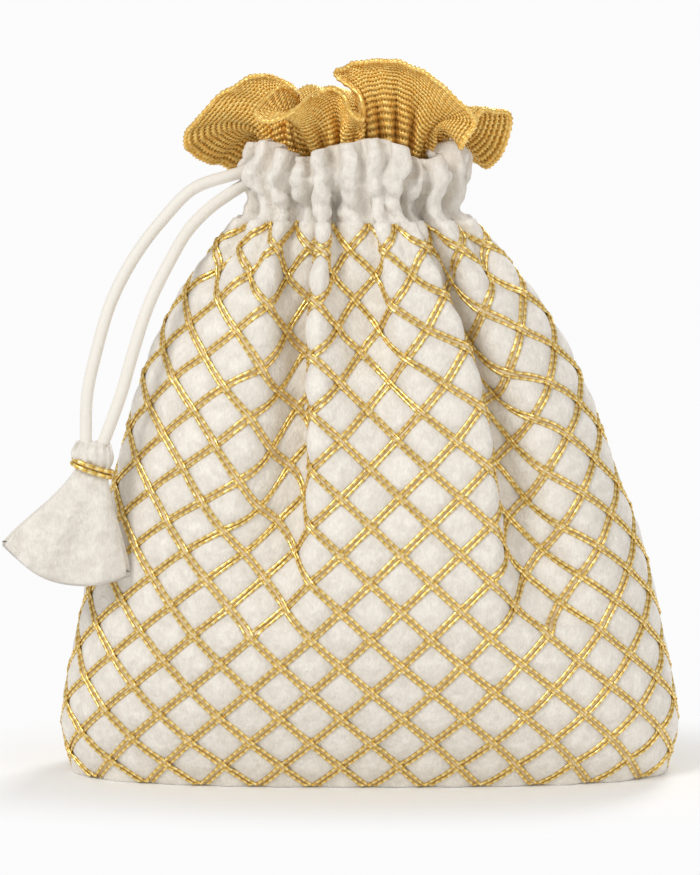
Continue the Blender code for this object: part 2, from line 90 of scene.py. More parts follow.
floor_look, floor_nodes, floor_links, floor_shader = new_look("floor_white", 0.9)
floor_shader.inputs["Base Color"].default_value = (0.93, 0.93, 0.93, 1)
floor_shader.inputs["Specular IOR Level"].default_value = 0.1
floor_place = floor_nodes.new("ShaderNodeTexCoord")
floor_near = floor_nodes.new("ShaderNodeVectorMath")
floor_near.operation = "MULTIPLY"
floor_near.inputs[1].default_value = (1.0, 2.6, 1.0)
floor_links.new(floor_place.outputs["Object"], floor_near.inputs[0])
floor_far = floor_nodes.new("ShaderNodeVectorMath")
floor_far.operation = "LENGTH"
floor_links.new(floor_near.outputs["Vector"], floor_far.inputs[0])
floor_fade = floor_nodes.new("ShaderNodeMapRange")
floor_fade.interpolation_type = "SMOOTHSTEP"
floor_fade.inputs["From Min"].default_value = 0.11
floor_fade.inputs["From Max"].default_value = 0.22
floor_links.new(floor_far.outputs["Value"], floor_fade.inputs["Value"])
floor_rays = floor_nodes.new("ShaderNodeLightPath")
floor_amount = floor_nodes.new("ShaderNodeMath")
floor_amount.operation = "MULTIPLY"
floor_links.new(floor_fade.outputs["Result"], floor_amount.inputs[0])
floor_links.new(floor_rays.outputs["Is Camera Ray"], floor_amount.inputs[1])
floor_glow = floor_nodes.new("ShaderNodeEmission")
floor_glow.inputs["Color"].default_value = (0.97, 0.97, 0.97, 1)
floor_mix = floor_nodes.new("ShaderNodeMixShader")
floor_links.new(floor_amount.outputs[0], floor_mix.inputs["Fac"])
floor_links.new(floor_shader.outputs[0], floor_mix.inputs[1])
floor_links.new(floor_glow.outputs[0], floor_mix.inputs[2])
floor_links.new(floor_mix.outputs[0], floor_nodes["Material Output"].inputs["Surface"])
floor.data.materials.append(floor_look)


def soft_light(name, place, aim, size, power):
    lamp = bpy.data.lights.new(name, "AREA")
    lamp.shape = "DISK"
    lamp.size = size
    lamp.energy = power
    made = bpy.data.objects.new(name, lamp)
    made.location = place
    made.rotation_euler = (Vector(aim) - Vector(place)).to_track_quat("-Z", "Y").to_euler()
    scene.collection.objects.link(made)


soft_light("key", (-0.75, -0.85, 1.05), (0, 0, 0.11), 0.55, 9.5)
soft_light("fill", (1.00, -0.90, 0.55), (0, 0, 0.11), 0.90, 3.0)
soft_light("rim", (0.45, 0.80, 0.95), (0, 0, 0.14), 0.50, 6.0)

world = bpy.data.worlds.new("studio")
scene.world = world
world.use_nodes = True
world_nodes = world.node_tree.nodes
world_links = world.node_tree.links
world_nodes.clear()
world_out = world_nodes.new("ShaderNodeOutputWorld")
seen = world_nodes.new("ShaderNodeBackground")
seen.inputs["Color"].default_value = (0.97, 0.97, 0.97, 1)
lit = world_nodes.new("ShaderNodeBackground")
lit.inputs["Color"].default_value = (1.0, 0.985, 0.96, 1)
lit.inputs["Strength"].default_value = 0.50
rays = world_nodes.new("ShaderNodeLightPath")
world_mix = world_nodes.new("ShaderNodeMixShader")
world_links.new(rays.outputs["Is Camera Ray"], world_mix.inputs["Fac"])
world_links.new(lit.outputs[0], world_mix.inputs[1])
world_links.new(seen.outputs[0], world_mix.inputs[2])
world_links.new(world_mix.outputs[0], world_out.inputs["Surface"])
scene.view_settings.view_transform = "Standard"

# Velvet pouch: one length of ivory cut-pile velvet, sewn into a bag and gathered at its neck.
# Deep folds and small gathers take up what each height has no room for, and the braids sewn on it
# hold it down, so that it puffs up between them. Its top edge is turned in.
lattice_columns = 24
columns = 2 * lattice_columns
lattice_rows = 21
diamond_width = 0.0193
cloth_length = lattice_columns * diamond_width
still_column = -0.015  # the cloth here keeps this x at every height
neck_shift = -0.0045  # the neck sits a little to the left of the base
throat_height = 0.1860
fine = 16  # points worked out across one half diamond
samples = columns * fine
# height, half width and half depth
sections = np.array(
    (
        (0.0, 0.0995, 0.0260),
        (0.0120, 0.1025, 0.0330),
        (0.0500, 0.0970, 0.0445),
        (0.1000, 0.0850, 0.0450),
        (0.1430, 0.0688, 0.0400),
        (0.1680, 0.0535, 0.0345),
        (0.1860, 0.0400, 0.0290),
    )
)
# where on the cloth, drift on the way up, the share of the height round which it grows, strength,
# and the steepness in degrees of its left and right sides
deep_folds = (
    (-0.030, -0.009, 0.38, 1.00, 62, 112),
    (0.010, -0.010, 0.64, 0.85, 72, 78),
    (0.057, 0.000, 0.34, 1.00, 112, 62),
    (0.128, 0.000, 0.60, 0.80, 80, 80),
    (0.178, 0.000, 0.45, 0.90, 80, 80),
    (0.231, 0.000, 0.60, 0.80, 80, 80),
    (0.284, 0.000, 0.45, 0.90, 80, 80),
    (0.334, 0.000, 0.60, 0.80, 80, 80),
)
fold_half_length = 0.0240


def ease(value, low, high):
    """0 below low and 1 above high, with a smooth way between."""
    t = np.clip((value - low) / (high - low), 0, 1)
    return t * t * (3 - 2 * t)


def smooth_curve(knots, values, at):
    """A curve through the values, read at one place."""
    slopes = np.gradient(values, knots, axis=0)
    k = int(np.clip(np.searchsorted(knots, at) - 1, 0, len(knots) - 2))
    span = knots[k + 1] - knots[k]
    t = (at - knots[k]) / span
    return (
        (2 * t**3 - 3 * t**2 + 1) * values[k]
        + (t**3 - 2 * t**2 + t) * span * slopes[k]
        + (3 * t**2 - 2 * t**3) * values[k + 1]
        + (t**3 - t**2) * span * slopes[k + 1]
    )


def oval(half_width, half_depth, power):
    """An oval's points from its front round, its outward normals and its length so far."""
    angle = np.linspace(0, 2 * math.pi, samples + 1)
    s, c = np.sin(angle), np.cos(angle)
    x = half_width * np.sign(s) * np.abs(s) ** (2 / power)
    y = -half_depth * np.sign(c) * np.abs(c) ** (2 / power)
    points = np.stack([x, y], axis=1)
    steps = np.linalg.norm(np.diff(points, axis=0), axis=1)
    length = np.concatenate([[0], np.cumsum(steps)])
    ring = points[:-1]
    tangent = np.roll(ring, -1, axis=0) - np.roll(ring, 1, axis=0)
    normal = np.stack([tangent[:, 1], -tangent[:, 0]], axis=1)
    normal /= np.linalg.norm(normal, axis=1)[:, None]
    return points, np.concatenate([normal, normal[:1]]), length


def share_until(test):
    """The largest share from 0 to 1 that passes the test."""
    low, high = 0.0, 1.0
    for _ in range(20):
        middle = (low + high) / 2
        if test(middle):
            low = middle
        else:
            high = middle
    return low


half_wave = np.sin(math.pi * (np.arange(64) + 0.5) / 64)


def side_depth(steepness):
    """How deep one side of a fold goes, for its length."""
    return np.sin(math.radians(steepness) * half_wave).mean()


def fold_parts(rise):
    """The cloth's turn in its deep folds at one height, and each fold's place and strength."""
    cloth = np.arange(samples) * cloth_length / samples
    turn = np.zeros(samples)
    folds = []
    for at, drift, foot, share, left, right in deep_folds:
        centre = at + drift * rise
        strength = share * float(ease(rise, foot - 0.25, foot + 0.30))
        away = (cloth - centre + cloth_length / 2) % cloth_length - cloth_length / 2
        if strength > 0:
            left_now, right_now = strength * left, strength * right
            ratio = side_depth(left_now) / side_depth(right_now)
            left_length = fold_half_length * 2 / (1 + ratio)
            right_length = left_length * ratio
            on_left = (away > -left_length) & (away < 0)
            on_right = (away >= 0) & (away < right_length)
            turn += np.where(
                on_left, math.radians(left_now) * np.sin(math.pi * away / left_length), 0
            )
            turn += np.where(
                on_right, math.radians(right_now) * np.sin(math.pi * away / right_length), 0
            )
        folds.append((centre % cloth_length, strength))
    return turn, folds


def cloth_ring(half_width, half_depth, power, deep, small, shift):
    """One ring of cloth round an oval. Deep folds and then gathers take up its length; what they
    can't take up, near the neck, is left out of the ring."""
    points, normals, length = oval(half_width, half_depth, power)
    wanted = length[-1] / cloth_length
    turn = deep * share_until(lambda share: np.cos(share * deep).mean() > wanted)
    turn = turn + small * share_until(lambda share: np.cos(turn + share * small).mean() > wanted)
    step = cloth_length / samples
    along = np.concatenate([[0], np.cumsum(np.cos(turn)) * step])
    out = np.concatenate([[0], np.cumsum(np.sin(turn)) * step])
    out -= np.linspace(0, out[-1], len(out))
    # the cloth between folds lies on the oval, and what would stand out of it is pressed back
    out = out - np.percentile(out, 85)
    out = np.where(out > 0, 0.3 * out, out)
    along *= length[-1] / along[-1]
    places = np.arange(samples + 1) * step
    along += still_column - shift - np.interp(still_column % cloth_length, places, along)
    at = along[:-1] % length[-1]
    ring = np.stack([np.interp(at, length, points[:, k]) for k in range(2)], axis=1)
    outward = np.stack([np.interp(at, length, normals[:, k]) for k in range(2)], axis=1)
    ring += outward * out[:-1, None]
    ring[:, 0] += shift
    return ring


def gathers(turn_degrees, sway=0.0):
    """Small tucks, one for each diamond, with uneven widths and a sway up the neck."""
    place = np.arange(samples) / samples
    uneven = 0.10 * np.sin(2 * math.pi * 5 * place + 1.0) + 0.07 * np.sin(2 * math.pi * 11 * place)
    slow = 0.13 * np.sin(2 * math.pi * 4 * place + 5 * sway)
    quick = 0.10 * np.sin(2 * math.pi * 9 * place + 2)
    uneven = uneven + sway * (slow + quick)
    wave = np.sin(-2 * math.pi * lattice_columns * place + 2 * math.pi * uneven)
    return math.radians(turn_degrees) * wave


def row_heights(count):
    """Heights that are evenly spaced along the cloth."""
    heights = np.linspace(0, throat_height, 400)
    halves = np.array([smooth_curve(sections[:, 0], sections[:, 1:], h) for h in heights])
    inward = (np.diff(halves, axis=0) ** 2).mean(axis=1)
    climbed = np.concatenate([[0], np.cumsum(np.sqrt(np.diff(heights) ** 2 + inward))])
    return np.interp(np.linspace(0, climbed[-1], count), climbed, heights)


def lattice_ring(height):
    rise = height / throat_height
    half_width, half_depth = smooth_curve(sections[:, 0], sections[:, 1:], height)
    power = 2.7 - 0.6 * float(ease(rise, 0.0, 0.35))
    shift = neck_shift * float(ease(rise, 0.3, 1.0))
    deep, folds = fold_parts(rise)
    gather = float(ease(rise, 0.80, 1.0))
    deep = deep * (1 - 0.25 * gather)
    ring = cloth_ring(half_width, half_depth, power, deep, gather * gathers(62), shift)
    return ring, folds


def panel_lift(lean, ring, folds):
    """How far the cloth slides up or down, so that its rows stay square to it between two folds."""
    across = np.roll(ring, -1, axis=0) - ring
    tilt = np.concatenate([[0], np.cumsum(-(lean * across).sum(axis=1))])[:-1]
    cloth = np.arange(samples) * cloth_length / samples
    folds = sorted(folds)
    lift = np.zeros(samples)
    for k, (centre, strength) in enumerate(folds):
        before, weak_before = folds[k - 1]
        gap = (centre - before) % cloth_length
        middle = (before + gap / 2) % cloth_length
        away = (cloth - middle + cloth_length / 2) % cloth_length - cloth_length / 2
        own = np.abs(away) <= gap / 2
        level = np.interp(middle, cloth, tilt)
        edge = np.clip((gap / 2 - np.abs(away)) / (fold_half_length * 0.8), 0, 1)
        firm = np.where(away > 0, strength, weak_before)
        firm = firm * ease(firm, 0.45, 1.0)
        weight = firm * (edge * edge * (3 - 2 * edge))
        lift = np.where(own, (tilt - level) * weight, lift)
    return lift


per_column = 8  # faces across one half diamond
per_row = 8  # faces up one half diamond
rows = lattice_rows * per_row
near = 0.004  # how far up and down the cloth's lean is read
most_lift = 0.009
grid = []
for height in row_heights(rows + 1):
    ring, folds = lattice_ring(height)
    high, low = min(height + near, throat_height), max(height - near, 0.0)
    lean = (lattice_ring(high)[0] - lattice_ring(low)[0]) / (high - low)
    rise = height / throat_height
    fade = float(ease(rise, 0.0, 0.35) * (1 - ease(rise, 0.85, 1.0)))
    lift = fade * np.clip(panel_lift(lean, ring, folds), -most_lift, most_lift)
    grid.append(np.column_stack([ring, height + lift])[:: fine // per_column])
grid = np.array(grid)


def grid_normals(points):
    """Outward normals of a ring-closed grid of points."""
    along = np.roll(points, -1, axis=1) - np.roll(points, 1, axis=1)
    up = np.gradient(points, axis=0)
    normal = np.cross(along, up)
    return normal / np.maximum(np.linalg.norm(normal, axis=2), 1e-9)[:, :, None]


# the neck above the lattice: (rise over the throat, half width, half depth, deep folding)
neck_sections = np.array(
    (
        (0.0000, 0.0400, 0.0290, 0.75),
        (0.0030, 0.0362, 0.0268, 0.62),
        (0.0060, 0.0352, 0.0260, 0.50),
        (0.0105, 0.0375, 0.0278, 0.35),
        (0.0160, 0.0388, 0.0288, 0.22),
        (0.0205, 0.0378, 0.0278, 0.17),
        (0.0240, 0.0362, 0.0262, 0.15),
    )
)
throat_deep, _ = fold_parts(1.0)
neck_rows = 26
neck_height, lip_half_width, lip_half_depth, _ = neck_sections[-1]
neck = []
for height in np.linspace(0, neck_height, neck_rows + 1)[1:]:
    half_width, half_depth, folding = smooth_curve(
        neck_sections[:, 0], neck_sections[:, 1:], height
    )
    sway = float(ease(height / neck_height, 0.0, 1.0))
    small = gathers(67 + 8 * sway, sway)
    ring = cloth_ring(half_width, half_depth, 2.1, folding * throat_deep, small, neck_shift)
    lifted = height + throat_height + np.zeros(samples)
    neck.append(np.column_stack([ring, lifted])[:: fine // per_column])
neck = np.array(neck)
around = np.arange(grid.shape[1]) / grid.shape[1]
ruffle = 0.0012 * np.sin(2 * math.pi * 5 * around + 0.6)
ruffle = ruffle + 0.0008 * np.sin(2 * math.pi * 13 * around + 2.0)
lip_across = (neck[-1, :, 0] - neck_shift) / lip_half_width
lip_turn = np.degrees(np.arctan2(lip_across, -neck[-1, :, 1] / lip_half_depth))
# dips and rises of the lip: degrees from the front, spread and height
dips = ((-33, 9, -0.0045), (-15, 6, 0.0012), (-5, 4, -0.0022), (8, 8, 0.0022), (43, 10, -0.0052))
for turn, spread, rise in dips:
    ruffle = ruffle + rise * np.exp(-(((lip_turn - turn) / spread) ** 2))
ruffle = np.mean([np.roll(ruffle, k) for k in range(-10, 11)], axis=0)
neck_share = (np.arange(neck_rows) + 1) / neck_rows
neck[:, :, 2] += ease(neck_share, 0.45, 1.0)[:, None] * ruffle[None, :]
outer = np.concatenate([grid, neck])

# velvet puffs up between its braids
u = np.arange(outer.shape[1]) / per_column
r = np.arange(rows + 1) / per_row
across_u, across_r = np.meshgrid(u, r)
one = np.abs(np.sin(math.pi * (across_u - across_r) / 2))
two = np.abs(np.sin(math.pi * (across_u + across_r) / 2))
puff_height = 0.0015
puff = puff_height * (one * two) ** 0.55
normals = grid_normals(outer)
outer[: rows + 1] += normals[: rows + 1] * puff[:, :, None]

# small soft crumples, deeper where the neck is gathered
crumple = np.array(
    [
        noise.noise(Vector(point) * 110) + 0.6 * noise.noise(Vector(point) * 230 + Vector((3, 1, 2)))
        for point in outer.reshape(-1, 3)
    ]
).reshape(outer.shape[:2])
pillows = np.array(
    [abs(noise.noise(Vector(point) * 135 + Vector((7, 2, 5)))) for point in neck.reshape(-1, 3)]
).reshape(neck.shape[:2])
crumple[rows + 1 :] = 0.7 * crumple[rows + 1 :] + ease(neck_share, 0.0, 0.15)[:, None] * (
    2.6 * pillows - 0.4
)
body_depth = 0.00035 + 0.0006 * ease(r / lattice_rows, 0.82, 1.0)
neck_depth = 0.0009 + 0.0005 * np.sin(math.pi * neck_share)
depth = np.concatenate([body_depth, neck_depth])
outer += normals * (crumple * depth[:, None])[:, :, None]
outer[:, :, 2] = np.maximum(outer[:, :, 2], 0.0)

# the top edge, rolled over and turned in
wall = 0.0026
lip = outer[-1]
centre = np.array((lip[:, 0].mean(), 0.0, 0.0))
across, deep = (lip - centre)[:, 0], (lip - centre)[:, 1]
inward = np.column_stack([across / lip_half_width**2, deep / lip_half_depth**2, 0 * across])
inward /= -np.linalg.norm(inward, axis=1)[:, None]
rolled = [
    lip + inward * wall * 0.5 * (1 - math.cos(a)) + np.array((0, 0, wall * 0.5)) * math.sin(a)
    for a in (math.pi * 0.25, math.pi * 0.5, math.pi * 0.75)
]
turned_in_rows = 18
inside = [ring + inward * wall for ring in outer[:-turned_in_rows:-2]]
sheet = np.concatenate([outer, rolled, inside])


def ring_faces(ring_count, size):
    """Faces between rings of points that each close on themselves."""
    made = []
    for base in range(0, (ring_count - 1) * size, size):
        for c in range(size):
            n = (c + 1) % size
            made.append((base + c, base + n, base + size + n, base + size + c))
    return made


around_count = sheet.shape[1]
vertices = sheet.reshape(-1, 3)
faces = ring_faces(len(sheet), around_count)
# the base, closed with rings that shrink to its middle
bottom = [
    np.column_stack([sheet[0][:, 0] * k, sheet[0][:, 1] * k, np.zeros(around_count)])
    for k in (0.96, 0.85, 0.6, 0.3)
]
first = len(vertices)
vertices = np.concatenate([vertices, *bottom])
previous = 0
for k in range(len(bottom)):
    base = first + k * around_count
    for c in range(around_count):
        n = (c + 1) % around_count
        faces.append((base + c, base + n, previous + n, previous + c))
    previous = base
faces.append(tuple(previous + c for c in reversed(range(around_count))))
velvet_mesh = bpy.data.meshes.new("velvet_pouch")
velvet_mesh.from_pydata(vertices.tolist(), [], faces)
velvet_mesh.shade_smooth()
velvet = bpy.data.objects.new("velvet_pouch", velvet_mesh)
scene.collection.objects.link(velvet)
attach(velvet, "root")
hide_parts("velvet_body")

# the back of the cloth, seen down the neck and closed at the bottom
lining_rings = []
for ring in outer[-16::-8, ::4]:
    arms = ring[:, :2] - np.array((ring[:, 0].mean(), 0.0))
    halves = np.abs(arms).max(axis=0)
    arms = arms / halves**2
    arms /= np.linalg.norm(arms, axis=1)[:, None]
    lining_rings.append(np.column_stack([ring[:, :2] - wall * arms, np.maximum(ring[:, 2], wall)]))
lining_rings = np.array(lining_rings)[:, ::-1]


def pattern(nodes, links, kind, where, scale, **finer):
    """A texture on the piece's own coordinates."""
    texture = nodes.new(kind)
    texture.inputs["Scale"].default_value = scale
    for socket, value in finer.items():
        texture.inputs[socket].default_value = value
    links.new(where, texture.inputs["Vector"])
    return texture


def two_tones(nodes, links, amount, first, second):
    """A ramp between two colours, each with its place."""
    ramp = nodes.new("ShaderNodeValToRGB")
    for end, (stop, colour) in zip(ramp.color_ramp.elements, (first, second)):
        end.position = stop
        end.color = (*colour, 1)
    links.new(amount, ramp.inputs["Fac"])
    return ramp


def stretch(nodes, links, value, from_range, to_range):
    """A value moved from one range to another."""
    moved = nodes.new("ShaderNodeMapRange")
    moved.inputs["From Min"].default_value, moved.inputs["From Max"].default_value = from_range
    moved.inputs["To Min"].default_value, moved.inputs["To Max"].default_value = to_range
    links.new(value, moved.inputs["Value"])
    return moved


def relief(nodes, links, height, strength, distance):
    """A bump made from a height."""
    bump = nodes.new("ShaderNodeBump")
    bump.inputs["Strength"].default_value = strength
    bump.inputs["Distance"].default_value = distance
    links.new(height, bump.inputs["Height"])
    return bump


# the pile: broad patches, brushed strokes, and a painted highlight on the crown of each puff, with
# painted shade in its dips by the braids
velvet_look, nodes, links, shader = new_look("ivory_velvet", 0.85)
shader.inputs["Sheen Weight"].default_value = 0.5
shader.inputs["Sheen Roughness"].default_value = 0.45
place = nodes.new("ShaderNodeTexCoord").outputs["Object"]
patches = pattern(nodes, links, "ShaderNodeTexNoise", place, 230, Detail=9, Distortion=0.5)
tint = two_tones(
    nodes,
    links,
    patches.outputs["Fac"],
    (0.36, (0.755, 0.705, 0.63)),
    (0.62, (0.855, 0.81, 0.74)),
)
brushed = nodes.new("ShaderNodeMapping")
brushed.inputs["Rotation"].default_value = (0.2, 0.5, 0.1)
brushed.inputs["Scale"].default_value = (1.0, 1.0, 0.38)
links.new(place, brushed.inputs["Vector"])
brushed_place = brushed.outputs["Vector"]
pile = pattern(
    nodes, links, "ShaderNodeTexNoise", brushed_place, 1500, Detail=4, Distortion=0.6
)
strokes = stretch(nodes, links, pile.outputs["Fac"], (0.35, 0.65), (0.93, 1.04))
# each puff's height paints light and shade: the colour is up to 6% lighter on its crown and 7% darker
# in its dips
puff_shading_mask = nodes.new("ShaderNodeAttribute")
puff_shading_mask.attribute_name = "puff_shading_mask"
puff_painted_shading = stretch(nodes, links, puff_shading_mask.outputs["Fac"], (0.15, 0.95), (0.93, 1.06))
strokes_and_painted_shading = nodes.new("ShaderNodeMath")
strokes_and_painted_shading.operation = "MULTIPLY"
links.new(strokes.outputs["Result"], strokes_and_painted_shading.inputs[0])
links.new(puff_painted_shading.outputs["Result"], strokes_and_painted_shading.inputs[1])
shaded = nodes.new("ShaderNodeVectorMath")
shaded.operation = "SCALE"
links.new(tint.outputs["Color"], shaded.inputs[0])
links.new(strokes_and_painted_shading.outputs[0], shaded.inputs["Scale"])
links.new(shaded.outputs["Vector"], shader.inputs["Base Color"])
crush = pattern(nodes, links, "ShaderNodeTexNoise", place, 330, Detail=5)
fine_bump = relief(nodes, links, pile.outputs["Fac"], 0.6, 0.0004)
broad_bump = relief(nodes, links, crush.outputs["Fac"], 0.65, 0.0012)
links.new(fine_bump.outputs["Normal"], broad_bump.inputs["Normal"])
links.new(broad_bump.outputs["Normal"], shader.inputs["Normal"])
# each point's puff height, for the velvet's painted puff highlight and dip shade; points off the
# lattice get 0.6
puff_shading_layer = velvet.data.attributes.new("puff_shading_mask", "FLOAT", "POINT")
heights = np.full(len(velvet.data.vertices), 0.6)
heights[: puff.size] = (puff / puff_height).reshape(-1)
puff_shading_layer.data.foreach_set("value", heights)
velvet.data.materials.append(velvet_look)

lining_look, nodes, links, shader = new_look("velvet_back", 0.9)
place = nodes.new("ShaderNodeTexCoord").outputs["Object"]
knit = pattern(nodes, links, "ShaderNodeTexVoronoi", place, 1600)
dark, pale = (1.0, (0.52, 0.47, 0.40)), (0.0, (0.70, 0.65, 0.57))
tint = two_tones(nodes, links, knit.outputs["Distance"], pale, dark)
links.new(tint.outputs["Color"], shader.inputs["Base Color"])
lining_count = lining_rings.shape[1]
lining_faces = ring_faces(len(lining_rings), lining_count)
lining_faces.append(tuple((len(lining_rings) - 1) * lining_count + c for c in range(lining_count)))
lining_mesh = bpy.data.meshes.new("pouch_inside")
lining_mesh.from_pydata(lining_rings.reshape(-1, 3).tolist(), [], lining_faces)
lining_mesh.shade_smooth()
lining_mesh.materials.append(lining_look)
lining = bpy.data.objects.new("pouch_inside", lining_mesh)
scene.collection.objects.link(lining)
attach(lining, "root")

# Gold braids: pairs of twisted metallic cords with a net ribbon between them, 24 leaning each way.
# They are sewn down on the velvet, and the ones that lean left pass over the others.
surface = outer[: rows + 1]
surface_normals = grid_normals(surface)


def on_cloth(u_at, r_at, field):
    """A field of the cloth's grid, read between its points."""
    c = (u_at * per_column) % around_count
    w = np.clip(r_at * per_row, 0, rows - 1e-6)
    c0, w0 = np.floor(c).astype(int), np.floor(w).astype(int)
    fc, fw = (c - c0)[:, None], (w - w0)[:, None]
    c0, c1 = c0 % around_count, (c0 + 1) % around_count
    w1 = np.minimum(w0 + 1, rows)
    low = field[w0, c0] * (1 - fc) + field[w0, c1] * fc
    high = field[w1, c0] * (1 - fc) + field[w1, c1] * fc
    return low * (1 - fw) + high * fw


# the cords' twist: gold dashes, 400 to the metre, each with a painted glint, and painted shade in the
# grooves between them
gold_cord_look, nodes, links, shader = new_look("gold_cord", 0.28, 0.75)
run = nodes.new("ShaderNodeAttribute")
run.attribute_name = "along"
split = nodes.new("ShaderNodeSeparateXYZ")
links.new(run.outputs["Vector"], split.inputs[0])
beat = nodes.new("ShaderNodeMath")
beat.operation = "MULTIPLY_ADD"
beat.inputs[1].default_value = 400.0
links.new(split.outputs["X"], beat.inputs[0])
links.new(split.outputs["Y"], beat.inputs[2])
saw = nodes.new("ShaderNodeMath")
saw.operation = "FRACT"
links.new(beat.outputs[0], saw.inputs[0])
twist_glint_and_groove_shade = nodes.new("ShaderNodeValToRGB")
# both ends are painted groove shade, the stop at 0.34 is the painted glint, and the stops between are
# the cord's gold
twist_glint_and_groove_shade.color_ramp.elements[0].position = 0.0
twist_glint_and_groove_shade.color_ramp.elements[0].color = (0.40, 0.25, 0.06, 1)
twist_glint_and_groove_shade.color_ramp.elements[1].position = 1.0
twist_glint_and_groove_shade.color_ramp.elements[1].color = (0.40, 0.25, 0.06, 1)
for stop, colour in (
    (0.08, (0.82, 0.54, 0.13, 1)),
    (0.34, (1.0, 0.88, 0.48, 1)),
    (0.56, (0.92, 0.66, 0.18, 1)),
    (0.94, (0.76, 0.49, 0.11, 1)),
):
    twist_glint_and_groove_shade.color_ramp.elements.new(stop).color = colour
links.new(saw.outputs[0], twist_glint_and_groove_shade.inputs["Fac"])
links.new(twist_glint_and_groove_shade.outputs["Color"], shader.inputs["Base Color"])
round_off = nodes.new("ShaderNodeMath")
round_off.operation = "PINGPONG"
round_off.inputs[1].default_value = 0.5
links.new(beat.outputs[0], round_off.inputs[0])
cord_bump = relief(nodes, links, round_off.outputs[0], 0.14, 0.0003)
links.new(cord_bump.outputs["Normal"], shader.inputs["Normal"])

ribbon_look, nodes, links, shader = new_look("gold_net_ribbon", 0.5, 0.25)
place = nodes.new("ShaderNodeTexCoord").outputs["Object"]
net = pattern(nodes, links, "ShaderNodeTexVoronoi", place, 1500)
net.feature = "DISTANCE_TO_EDGE"
dark, pale = (0.10, (0.74, 0.55, 0.26)), (0.30, (0.90, 0.81, 0.66))
tint = two_tones(nodes, links, net.outputs["Distance"], dark, pale)
links.new(tint.outputs["Color"], shader.inputs["Base Color"])
net_bump = relief(nodes, links, net.outputs["Distance"], 0.6, 0.0003)
net_bump.invert = True
links.new(net_bump.outputs["Normal"], shader.inputs["Normal"])


def strip_mesh(name, rings, closed, along, look):
    """A mesh swept through rings of points, with the length along it kept as an attribute."""
    count, size = rings.shape[1], rings.shape[2]
    points = rings.reshape(-1, 3)
    quads = []
    for s in range(rings.shape[0]):
        for k in range(count - 1):
            a = (s * count + k) * size
            b = a + size
            for j in range(size if closed else size - 1):
                n = (j + 1) % size
                quads.append((a + j, a + n, b + n, b + j))
    mesh = bpy.data.meshes.new(name)
    mesh.from_pydata(points.tolist(), [], quads)
    mesh.shade_smooth()
    attribute = mesh.attributes.new("along", "FLOAT_VECTOR", "POINT")
    values = np.zeros((len(points), 3))
    values[:, 0] = np.repeat(along.reshape(-1), size)
    values[:, 1] = np.repeat(np.arange(rings.shape[0]) * 0.37 % 1.0, count * size)
    attribute.data.foreach_set("vector", values.reshape(-1))
    made = bpy.data.objects.new(name, mesh)
    mesh.materials.append(look)
    scene.collection.objects.link(made)
    return made


steps_per_half = 9
cord_apart = 0.142  # from the braid's middle to a cord, in half diamonds
cord_radius = 0.00050
cord_sides = 7
cord_clear = 0.00036  # of its middle above the velvet
over_height = 0.0007  # of the upper braid at a crossing
for family, lean_sign, lift in (("right", 1, 0.0), ("left", -1, 1.0)):
    tubes, tube_along, ribbons, ribbon_along = [], [], [], []
    for k in range(lattice_columns):
        r_at = np.linspace(0.03, lattice_rows - 0.02, lattice_rows * steps_per_half)
        u_at = 2 * k + lean_sign * r_at
        centre_line = on_cloth(u_at, r_at, surface)
        centre_line[:, 2] = np.maximum(centre_line[:, 2], 0.0021)
        facing = on_cloth(u_at, r_at, surface_normals)
        facing /= np.linalg.norm(facing, axis=1)[:, None]
        ahead = np.gradient(centre_line, axis=0)
        ahead /= np.linalg.norm(ahead, axis=1)[:, None]
        side = np.cross(ahead, facing)
        side /= np.linalg.norm(side, axis=1)[:, None]
        crossing = np.abs(r_at - np.round(r_at))
        hump = over_height * lift * (1 - ease(crossing, 0.08, 0.24))
        length = np.concatenate(
            [[0], np.cumsum(np.linalg.norm(np.diff(centre_line, axis=0), axis=1))]
        )
        for edge in (-1, 1):
            beside = on_cloth(u_at + edge * cord_apart, r_at, surface)
            upward = on_cloth(u_at + edge * cord_apart, r_at, surface_normals)
            upward /= np.linalg.norm(upward, axis=1)[:, None]
            core = beside + upward * (cord_clear + hump)[:, None]
            core[:, 2] = np.maximum(core[:, 2], 0.0009)
            turn_at = np.arange(cord_sides) * 2 * math.pi / cord_sides
            ring = core[:, None, :] + cord_radius * (
                np.cos(turn_at)[None, :, None] * side[:, None, :]
                + 0.8 * np.sin(turn_at)[None, :, None] * facing[:, None, :]
            )
            tubes.append(ring)
            tube_along.append(length)
        ribbon_points = []
        for across, high in ((-0.10, 0.0002), (0.0, 0.0004), (0.10, 0.0002)):
            lies = on_cloth(u_at + across, r_at, surface) + facing * (high + hump)[:, None]
            lies[:, 2] = np.maximum(lies[:, 2], 0.0006)
            ribbon_points.append(lies)
        ring = np.stack(ribbon_points, axis=1)
        ribbons.append(ring)
        ribbon_along.append(length)
    cords = strip_mesh(
        f"gold_cords_{family}", np.array(tubes), True, np.array(tube_along), gold_cord_look
    )
    ribbon = strip_mesh(
        f"gold_ribbons_{family}", np.array(ribbons), False, np.array(ribbon_along), ribbon_look
    )
    for made in (cords, ribbon):
        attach(made, "root")
        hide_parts(*[f"braid_{family}_{k + 1:02d}" for k in range(lattice_columns)])
